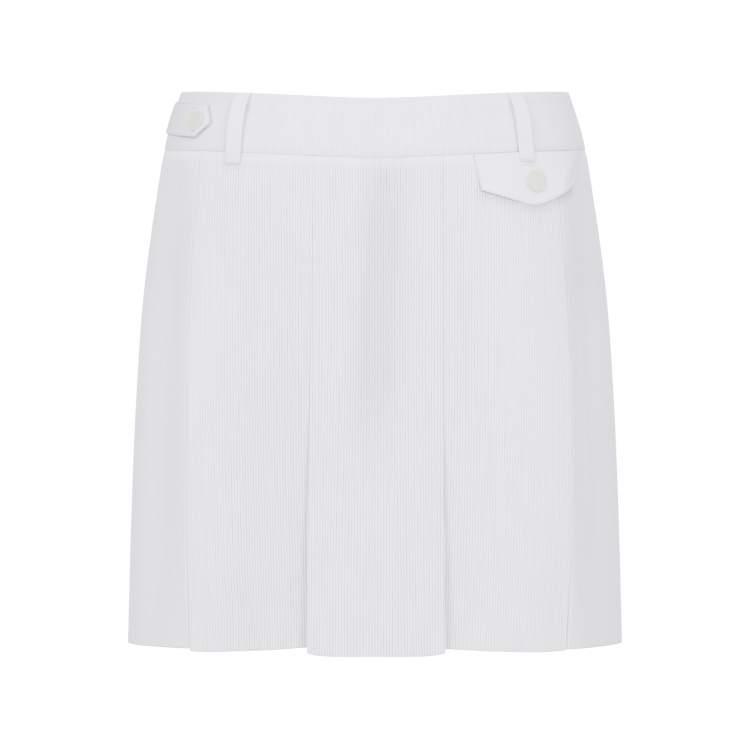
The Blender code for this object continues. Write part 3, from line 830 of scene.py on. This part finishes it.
def addBandPiece(name, node, first, last):
    toSide, toBack = roundTheForm(band["laidAt"])
    # the back halves meet at the centre back, and the side seams leave a hair's breadth
    starts, ends = (alongTo(s, toSide, toBack) for s in (first, last))
    starts += 0 if abs(first) == 2 else edges["seam"] / 2
    ends -= 0 if abs(last) == 2 else edges["seam"] / 2
    columns = np.linspace(starts, ends, round((ends - starts) / ribSpacing) + 1)
    share = shareOf(columns, toSide, toBack)
    bow = sum(wave["depth"] * bump(share - wave["share"], wave["width"]) for wave in bandWaves)
    rollIn = band["rollIn"] * bySideSeam(np.abs(np.abs(columns) - toSide))
    tuck = -0.4 * bump(np.minimum(columns - columns[0], columns[-1] - columns), 1.1)
    outer, inner, places = [], [], []
    for drop in band["rows"]:
        level = drop / edges["bandHeight"]
        fromEdge = edges["bandHeight"] - drop
        top = rounded(drop, band["roll"], 0.004)
        low = rounded(fromEdge, band["press"], 0.02)
        half = band["thick"] / 2 * top * (0.4 + 0.6 * low)
        puff = band["puff"] * math.sin(math.pi * level) - rollIn * float(ease((drop - 34.5) / 6.5))
        soft = bow * math.sin(math.pi * min(level + 0.1, 1)) * 0.8
        height = topEdge(share) - drop
        notched = height - band["notch"] * ribRelief(columns) * float(bump(fromEdge, 1.0))
        rib = ribRelief(columns) * cloth["ribDepth"] * band["ribShare"] * top
        dents = [bump(columns - dent["at"][0], dent["wide"]) * bump(drop - dent["at"][1], dent["tall"])
                 for dent in bandDents]
        soft = soft + sum(form * dent["depth"] for form, dent in zip(dents, bandDents))
        # painted shade in the dents, and towards the lower edge
        shade = sum(form * dent["shade"] for form, dent in zip(dents, bandDents))
        shade = np.minimum(shade + band["lowShade"] * float(ease((drop - 34) / 7)), 1)
        lift = band["lift"] + soft + tuck
        outer.append(onForm(share, lift + half + puff + rib, notched))
        inner.append(onForm(share, lift - half, height))
        places.append(np.stack([columns, 0 * columns - drop, shade, 0 * columns], -1))
    match = band["insideRows"]
    piece = addShell(name, np.array(outer), np.array(inner)[match], bandCloth, np.array(places), match)
    fitIn(piece, node)


frontHalves = [(-1, frontHalf), (1, frontHalf)]
addSkirtPiece("frontCloth", "front_pleated", "front", frontHalves)
addSkirtPiece("backClothRight", "back_right", "back", [(1, backHalf)])
addSkirtPiece("backClothLeft", "back_left", "back", [(-1, backHalf)])
addBandPiece("bandFront", "waistband_front", -1, 1)
addBandPiece("bandBackRight", "waistband_back_right", 1, 2)
addBandPiece("bandBackLeft", "waistband_back_left", -2, -1)
print("skirt and band sewn")


def edgeRows(long, fine):
    # places from 0 to long, close together near both ends
    near = [0, 0.12, 0.35, 0.7, 1.2, 2.0, 3.2, 4.8]
    count = max(int((long - 2 * near[-1]) / fine), 1)
    middle = np.linspace(near[-1], long - near[-1], count + 1)
    return np.concatenate([near[:-1], middle, [long - d for d in near[-2::-1]]]) / long


def rolledEdge(fromEdge):
    # the turned edge stands up a little, and dips where the turning ends inside
    return 0.2 * bump(fromEdge - 1.9, 1.3) - 0.14 * bump(fromEdge - 5.4, 1.6)


def trimPlaces(across, down, shade):
    return np.stack([across, -down, np.clip(shade, 0, 1), 0 * across], -1)


def addTrim(name, node, thick, share, height, middle, fromEdge, press, places):
    # a doubled piece with turned edges, pressed down where its cap sits
    half = thick / 2 * rounded(fromEdge, 0.9)
    outer = onForm(share, middle + half + rolledEdge(fromEdge) - press, height)
    piece = addShell(name, outer, onForm(share, middle - half, height), trimCloth, places)
    fitIn(piece, node)
    return piece


tab = {
    "tip": 0.579,  # share of the way from the centre front to the side seam
    "behindSeam": 26,
    "long": 105,
    "height": 22.6,
    "point": (7, 13),  # how far it runs out past the corner above it and past the one below it
    "pointRound": 0.012,
    "belowTop": (20.7, 16.5),  # from the band's top to its middle line, at the tip and at the far end
    "thick": 1.8,
    "snapFromTip": 13.2,
    "standOff": 2.4,  # it is stiff and stands off the band at its tip
    "stiff": 38,  # mm from the tip over which it comes back in
}
bandFace = band["lift"] + 1.2


def tabPlace(run, across):
    # run is from the tip's line back along the band and across is -1 at the top to 1 at the bottom
    toSide, toBack = roundTheForm(0)
    tip = tab["tip"] * toSide
    end = toSide + tab["behindSeam"]
    point = np.where(across < 0, tab["point"][0], tab["point"][1])
    blunt = tab["pointRound"]
    start = tip + point * (np.sqrt(across**2 + blunt) - math.sqrt(blunt))
    along = mix(start, end, run)
    share = -shareOf(along, toSide, toBack)
    middle = mix(*tab["belowTop"], (along - tip) / (end - tip))
    return share, topEdge(share) - middle - across * tab["height"] / 2, along - start, end - along


def tabLift(fromTip):
    off = tab["standOff"] * (1 - ease(fromTip / tab["stiff"]))
    return bandFace + edges["gap"] + tab["thick"] / 2 + off


def addTab():
    rows, columns = 2 * edgeRows(tab["height"], 1.3) - 1, edgeRows(tab["long"], 1.5)
    across, run = np.meshgrid(rows, columns, indexing="ij")
    share, height, fromTip, fromEnd = tabPlace(run, across)
    down = across * tab["height"] / 2
    fromSide = (1 - np.abs(across)) * tab["height"] / 2
    fromEdge = np.minimum(np.minimum(fromTip * 0.8, fromEnd), fromSide)
    toCap = np.hypot(fromTip - tab["snapFromTip"], down)
    middle = tabLift(fromTip) - 0.8 * bump(fromSide, 2.2)
    press = 0.3 * bump(toCap - 6, 3.2)
    # painted shade: the tab a little darker, more so towards its far end, with a painted dark outline
    # round its edge and round its cap
    shade = 0.12 + 0.14 * ease((fromTip - 12) / 24)
    shade = shade + 0.6 * bump(fromEdge, 0.6) + 0.3 * bump(toCap - 7.9, 0.7)
    places = trimPlaces(fromTip, down, shade)
    skin = (tab["thick"], share, height, middle, fromEdge, press, places)
    piece = addTrim("tabCloth", "adjuster_tab", *skin)


def flapLift(drop):
    off = flap["standOff"] * ease(drop / flap["pointDrop"])
    return cloth["thick"] / 2 + edges["gap"] + flap["thick"] / 2 + off


def flapPlace(across, drop):
    toSide = roundTheForm(levelHeight(flap["laidAt"]))[0]
    fall = np.minimum(drop / flap["cornerDrop"], 1)
    share = (mix(*flap["centre"], fall) + across * mix(*flap["width"], fall) / 2) / toSide
    return share, bandSeam(share) - edges["gap"] - drop


flapPuffs = table("at width lift drop", (-24, 11, 0.6, 20), (28, 8, 0.8, 14))


def addFlap():
    wide, tall = flap["width"][0], flap["pointDrop"]
    down, across = np.meshgrid(edgeRows(tall, 1.3), 2 * edgeRows(wide, 1.6) - 1, indexing="ij")
    bottom = flapBottom(across)
    drop = bottom * down
    share, height = flapPlace(across, drop)
    fromSide = (1 - np.abs(across)) * flap["width"][1] / 2
    fromEdge = np.minimum((bottom - drop) * 0.95, fromSide)
    toCap = np.hypot(drop - flap["snapDrop"], across * flap["pinnedHalf"])
    toRim = np.hypot(drop - flap["snapDrop"], across * flap["rimHalf"])
    corners = 0.3 * ease(drop / 18) * np.abs(across) ** 3
    corners = corners - 1.6 * ease((across - 0.5) / 0.5) * ease(drop / 12)
    middle = flapLift(drop) - 0.4 * bump(toCap, 12) + corners - 0.55 * bump(fromEdge, 1.6)
    for puff in flapPuffs:
        form = bump(across * flap["puffHalf"] - puff["at"], puff["width"])
        middle = middle + puff["lift"] * form * ease(drop / puff["drop"])
    press = 0.25 * bump(toCap - 7.8, 2.2)
    # painted shade: darker along its edge, in a ring round its cap and towards its right end, where it
    # turns away
    shade = 0.3 * bump(fromEdge, 1.1) + 0.5 * bump(toRim - 8.1, 0.8)
    shade = shade + 0.24 * ease((across - 0.62) / 0.38)
    places = trimPlaces(across * flap["rimHalf"], drop, shade)
    skin = (flap["thick"], share, height, middle, fromEdge, press, places)
    piece = addTrim("flapCloth", "pocket_flap", *skin)
    flat = (wide * mm, tall * mm)
    area = flat[0] * flat[1] * flap["cutShare"]


addTab()
addFlap()
print("tab and pocket flap sewn")

loops = table(
    "name node on share below onFlap",
    ("loopFrontLeft", "belt_loop_front_left", "waistband_front", -0.475, 8.4, False),
    ("loopFrontRight", "belt_loop_front_right", "waistband_front", 0.51, 6.8, True),
    ("loopBackLeft", "belt_loop_back_left", "waistband_back_left", -1.52, 9, False),
    ("loopBackRight", "belt_loop_back_right", "waistband_back_right", 1.52, 9, False),
)
strip = {
    "width": 11,
    "thick": 1.15,
    "bulge": (4.6, 1.6),  # how far it stands off the band near its top and near its foot
    "turnedUnder": 8,
    "turn": 0.72,
    "footTurn": 0.36,
    "topDrop": 0.5,
    "pressed": 0.45,  # share of its thickness that it loses at its sewn foot
}


def loopPath(loop):
    # the strip's middle from its hidden top end, over the fold, down the front and under at the bottom
    turn, thick, tall = strip["turn"], strip["thick"], edges["bandHeight"] + loop["below"]
    onBand = bandFace + 0.25 + thick / 2
    under = float(flapLift(loop["below"])) + flap["thick"] / 2 if loop["onFlap"] else cloth["thick"] / 2
    atEnd = under + 0.1 + thick * (1 - strip["pressed"]) / 2
    arc = np.linspace(0, math.pi, 9)
    top = strip["topDrop"] + thick / 2 + turn
    hidden = np.linspace(strip["turnedUnder"], top, 6)
    drop = [hidden[:-1], top - turn * np.sin(arc)]
    lift = [onBand + 0.4 * (hidden[:-1] - top) / 8, onBand + turn - turn * np.cos(arc)]
    footTurn = strip["footTurn"]
    foot = tall - thick / 2 - footTurn
    bulgeTop, bulgeFoot = strip["bulge"]
    down = np.linspace(top, foot, 34)[1:-1]
    share = (down - top) / (foot - top)
    turnIn = edges["bandHeight"] - 5 if loop["onFlap"] else edges["bandHeight"] + 0.6
    base = mix(onBand, atEnd, ease((down - turnIn) / 4)) + 2 * mix(turn, footTurn, share)
    bulge = mix(bulgeTop, bulgeFoot, np.clip(share / 0.8, 0, 1))
    bulge = np.sin(math.pi * np.clip(share / 0.84, 0, 1)) ** 0.6 * bulge
    drop += [down, foot + footTurn * np.sin(arc)]
    lift += [base + bulge, atEnd + footTurn + footTurn * np.cos(arc)]
    back = np.linspace(foot, foot - 3.2, 4)[1:]
    drop.append(back)
    lift.append(atEnd + 0 * back)
    return np.concatenate(drop), np.concatenate(lift)


def addLoop(loop):
    drop, lift = loopPath(loop)
    run, climb = np.gradient(drop), np.gradient(lift)
    size = np.hypot(run, climb)
    faceDrop, faceLift = climb / size, -run / size  # towards the strip's wrong side
    across = 2 * edgeRows(strip["width"], 1.0) - 1
    share = shareBeside(loop["share"], across * strip["width"] / 2, 0)
    fromSide = (1 - np.abs(across)) * strip["width"] / 2
    half = strip["thick"] / 2 * rounded(fromSide, 0.6)
    roll = 0.1 * bump(fromSide - 1.3, 0.8) - 0.05 * bump(fromSide - 5.5, 2)
    foot = 1 - strip["pressed"] * ease((drop - drop.max() + 6) / 3)
    grids = []
    for face in (1, -1):
        rows = []
        for n in range(len(drop)):
            reach = foot[n] * (face * half + (roll if face > 0 else 0))
            # the front of the strip runs down, so its right side is away from the form
            height = topEdge(loop["share"]) - (drop[n] - faceDrop[n] * reach)
            rows.append(onForm(share, lift[n] - faceLift[n] * reach, height))
        grids.append(np.array(rows))
    # painted shade: darker along its sides, towards its lower end and at its foot
    low = ease((drop - edges["bandHeight"] + 2) / 9)[:, None]
    shade = 0.3 * bump(fromSide, 0.4) + 0.18 * low + 0.2 * bump(drop[:, None] - drop.max(), 1.0)
    places = trimPlaces(0 * shade + across * strip["width"] / 2, 0 * shade + drop[:, None], shade)
    piece = addShell(loop["name"], *grids, trimCloth, places)
    fitIn(piece, loop["node"])


for loop in loops:
    addLoop(loop)
print("belt loops sewn")

stitch = {
    "radius": 0.2,
    "sides": 6,
    "steps": 6,
    "zigzags": 15,
    "barHeight": 3.6,
    "barWidth": 10.6,
    "barAt": -25,  # height at which the bar tacks are laid round the form
    "clear": 0.12,  # from the cloth's face to the thread's middle
    "hole": 0.7,
    "holeRadius": 0.3,
}


def threadPoints(path, radius):
    # a round thread along a path of points, closed at both ends
    path = np.asarray(path)
    ahead = np.gradient(path, axis=0)
    ahead /= np.linalg.norm(ahead, axis=1)[:, None]
    side = np.cross(ahead, [0.1, 0.2, 0.97])
    side /= np.linalg.norm(side, axis=1)[:, None]
    lift = np.cross(side, ahead)
    spin = np.arange(stitch["sides"]) / stitch["sides"] * 2 * math.pi
    taper = np.sqrt(np.clip(1 - np.abs(np.linspace(-1, 1, len(path))) ** 6, 0.05, 1))
    ring = side[:, None] * np.cos(spin)[None, :, None] + lift[:, None] * np.sin(spin)[None, :, None]
    return path[:, None] + ring * (radius * taper)[:, None, None]


def ringFaces(start, rings, count, flip=False):
    # the skin of a tube of rings, and its two ends
    n = np.arange(count)
    a = start + count * np.arange(rings - 1)[:, None] + n
    b = start + count * np.arange(rings - 1)[:, None] + (n + 1) % count
    quads = np.stack([a, b, b + count, a + count], -1).reshape(-1, 4)
    first, last = start + n[::-1], start + (rings - 1) * count + n
    if flip:
        quads, first, last = quads[:, [0, 3, 2, 1]], first[::-1], last[::-1]
    return quads.tolist() + [first.tolist(), last.tolist()]


def addThreads(name, paths, finish, radius=stitch["radius"]):
    points, faces, start = [], [], 0
    for path in paths:
        tube = threadPoints(path, radius)
        faces += ringFaces(start, *tube.shape[:2])
        points.append(tube.reshape(-1, 3))
        start += len(points[-1])
    fitIn(addPiece(name, np.concatenate(points), faces, finish))


def addBarTack(loop):
    share = loop["share"]
    paths, holes = [], []
    for n in range(stitch["zigzags"]):
        t = np.linspace(0, 1, stitch["steps"])
        x = (n + t) / stitch["zigzags"] - 0.5
        fall = t if n % 2 else 1 - t
        drop = loop["below"] + (fall - 0.3) * stitch["barHeight"]
        s = shareBeside(share, x * stitch["barWidth"], stitch["barAt"])
        under = flapLift(drop) + flap["thick"] / 2 if loop["onFlap"] else cloth["thick"] / 2
        foot = 1.45 * (1 - ease((drop - loop["below"] + 0.5) / 0.8))
        lift = under + foot + stitch["clear"] + 0.1 * np.sin(math.pi * t)
        paths.append(onForm(s, lift, bandSeam(share) - drop))
        # a dark dot at each end of each stitch: painted shade in the needle hole
        for end in (0, -1):
            hole = drop[end] + stitch["hole"] * np.linspace(-0.5, 0.5, 4)
            holes.append(onForm(s[end], (under + foot)[end], bandSeam(share) - hole))
    addThreads(loop["name"].replace("loop", "barTack"), paths, thread)
    addThreads(loop["name"].replace("loop", "needleHoleShades"), holes, holeShade, stitch["holeRadius"])


for loop in loops:
    addBarTack(loop)
print("bar tacks sewn")

topstitch = {"inside": 2.0, "long": 2.0, "pitch": 3.1, "reach": 62}  # inside is from the tab's edge


def addTabStitches():
    # from the far end along the tab's top to its tip, and back along the bottom
    half = 1 - 2 * topstitch["inside"] / tab["height"]
    toSide = roundTheForm(0)[0]
    far = topstitch["reach"] / (toSide + tab["behindSeam"] - tab["tip"] * toSide)
    corners = [(far, -half), (0, -half), (0, 0), (0, half), (far, half)]
    run, across = (np.concatenate([np.linspace(a[n], b[n], 40) for a, b in zip(corners, corners[1:])])
                   for n in (0, 1))
    share, height, fromTip = tabPlace(run, across)[:3]
    toward = ease(1 - fromTip / 6) * topstitch["inside"] * 1.15
    lift = tabLift(fromTip + toward) + tab["thick"] / 2 + stitch["clear"]
    line = onForm(share - toward / toSide, lift, height)
    length = np.concatenate([[0], np.cumsum(np.linalg.norm(np.diff(line, axis=0), axis=1))])
    paths = []
    for start in np.arange(1, length[-1] - topstitch["long"], topstitch["pitch"]):
        at = np.linspace(start, start + topstitch["long"], stitch["steps"])
        paths.append(np.stack([np.interp(at, length, line[:, n]) for n in range(3)], -1))
    addThreads("tabStitches", paths, thread)


addTabStitches()
print("tab stitched round")

cap = {
    "radius": 7.4,
    "segments": 252,
    "beads": 42,
    "beadHeight": 0.34,
    "sunk": 0.35,  # how far the flap's cap sits in its cloth
    "profile": [  # share of the radius, height, share of the bead's height
        (0.0, 1.22, 0), (0.3, 1.23, 0), (0.55, 1.2, 0), (0.7, 1.12, 0), (0.745, 1.06, 0), (0.77, 1.0, 0),
        (0.79, 1.02, 0.1), (0.82, 1.2, 0.7), (0.86, 1.34, 1), (0.9, 1.34, 1), (0.935, 1.22, 0.6),
        (0.965, 1.02, 0.1), (0.99, 0.72, 0), (1.0, 0.4, 0), (0.975, 0.1, 0), (0.9, 0.0, 0), (0.0, 0.0, 0),
    ],
}


def addCap(name, node, faceAt):
    # faceAt gives a point of the cloth's face, from a distance to the right and one upwards
    spin = np.arange(cap["segments"]) / cap["segments"] * 2 * math.pi
    bead = np.abs(np.cos(spin * cap["beads"] / 2)) ** 0.7
    points = []
    for radius, tall, beaded in cap["profile"]:
        reach = max(radius, 0.02) * cap["radius"]
        level = tall + cap["beadHeight"] * beaded * (bead - 0.7)
        points.append(np.stack([reach * np.cos(spin), reach * np.sin(spin), level], -1))
    faces = ringFaces(0, len(points), cap["segments"], True)
    up = Vector(faceAt(0, 3) - faceAt(0, -3)).normalized()
    out = Vector(faceAt(3, 0) - faceAt(-3, 0)).cross(up).normalized()
    turn = Matrix((up.cross(out), up, out)).transposed()
    placed = np.concatenate(points) @ np.array(turn).T + faceAt(0, 0)
    fitIn(addPiece(name, placed, faces, capIvory), node)


def tabFace(right, up):
    toSide = roundTheForm(0)[0]
    fromTip = tab["snapFromTip"] - right
    share = -(tab["tip"] + fromTip / toSide)
    return onForm(share, tabLift(fromTip) + tab["thick"] / 2, topEdge(share) - tab["belowTop"][0] + up)


def flapFace(right, up):
    share, height = flapPlace(right / flap["puffHalf"], flap["snapDrop"] - up)
    return onForm(share, flapLift(flap["snapDrop"] - up) + flap["thick"] / 2 - cap["sunk"], height)


addCap("capTab", "snap_cap_tab", tabFace)
addCap("capFlap", "snap_cap_flap", flapFace)
print("snap caps set")

studio = {
    "floorBelow": 0.26,  # m under the hem
    "floorReach": 9,
    "white": 18,  # how bright the floor and the backdrop look
    "ambient": 1.03,
    "ambientColour": (0.93, 0.92, 1.17, 1),
    "lampColour": (1.0, 0.985, 0.955),
    "middle": (0, 0, -0.17),
    "left": {"place": (-1.43, -2.69, 0.82), "size": 1.8, "power": 260},
    "right": {"place": (1.43, -2.69, 0.82), "size": 1.8, "power": 230},
    "back": {"place": (0.6, 2.9, 1.0), "size": 2.4, "power": 330},
    "camera": {"place": (0, -2.2, -0.17), "sensor": 36, "lens": 150.86},
}


def addFloor():
    f = Finish("pale_floor")
    colour = f.blend(f.noise(f.room(), 3.0) * 0.2, (0.93, 0.93, 0.93, 1), (0.9, 0.9, 0.9, 1))
    glow = {"Emission_Color": (1, 1, 1, 1), "Emission_Strength": studio["white"]}
    finish = f.close(Base_Color=colour, Roughness=0.9, **glow)
    level = edges["hem"] - studio["floorBelow"] / mm
    reach = studio["floorReach"] / mm
    corners = [(x * reach, y * reach, level) for x, y in ((-1, -1), (1, -1), (1, 1), (-1, 1))]
    floor = addPiece("floor", corners, [[0, 1, 2, 3]], finish)
    floor.visible_diffuse = floor.visible_glossy = False  # it looks white and doesn't light the cloth


def addLight(name):
    spec = studio[name]
    lamp = bpy.data.lights.new(name, "AREA")
    lamp.shape, lamp.size, lamp.energy = "DISK", spec["size"], spec["power"]
    lamp.color = studio["lampColour"]
    light = putIn(name, lamp, spec["place"])
    aim = Vector(studio["middle"]) - light.location
    light.rotation_euler = aim.to_track_quat("-Z", "Y").to_euler()


def addSky():
    # white behind the skirt, and a soft light round it
    f = Finish("studio", "worlds")
    bpy.context.scene.world = f.made
    white = {"Color": (1, 1, 1, 1), "Strength": studio["white"]}
    soft = {"Color": studio["ambientColour"], "Strength": studio["ambient"]}
    seen = f.node("ShaderNodeLightPath")  # whether it is seen straight away
    backdrop, around = (f.node("ShaderNodeBackground", {}, look) for look in (white, soft))
    both = f.node("ShaderNodeMixShader", {}, {0: seen, 1: around, 2: backdrop})
    f.node("ShaderNodeOutputWorld", {}, {"Surface": both})


def addCamera():
    spec = studio["camera"]
    eye = bpy.data.cameras.new("camera")
    eye.sensor_width, eye.lens = spec["sensor"], spec["lens"]
    camera = putIn("camera", eye, spec["place"])
    camera.rotation_euler = (math.pi / 2, 0, 0)
    bpy.context.scene.camera = camera


addFloor()
for name in ("left", "right", "back"):
    addLight(name)
addSky()
addCamera()
print("studio set up")

bpy.context.view_layer.update()
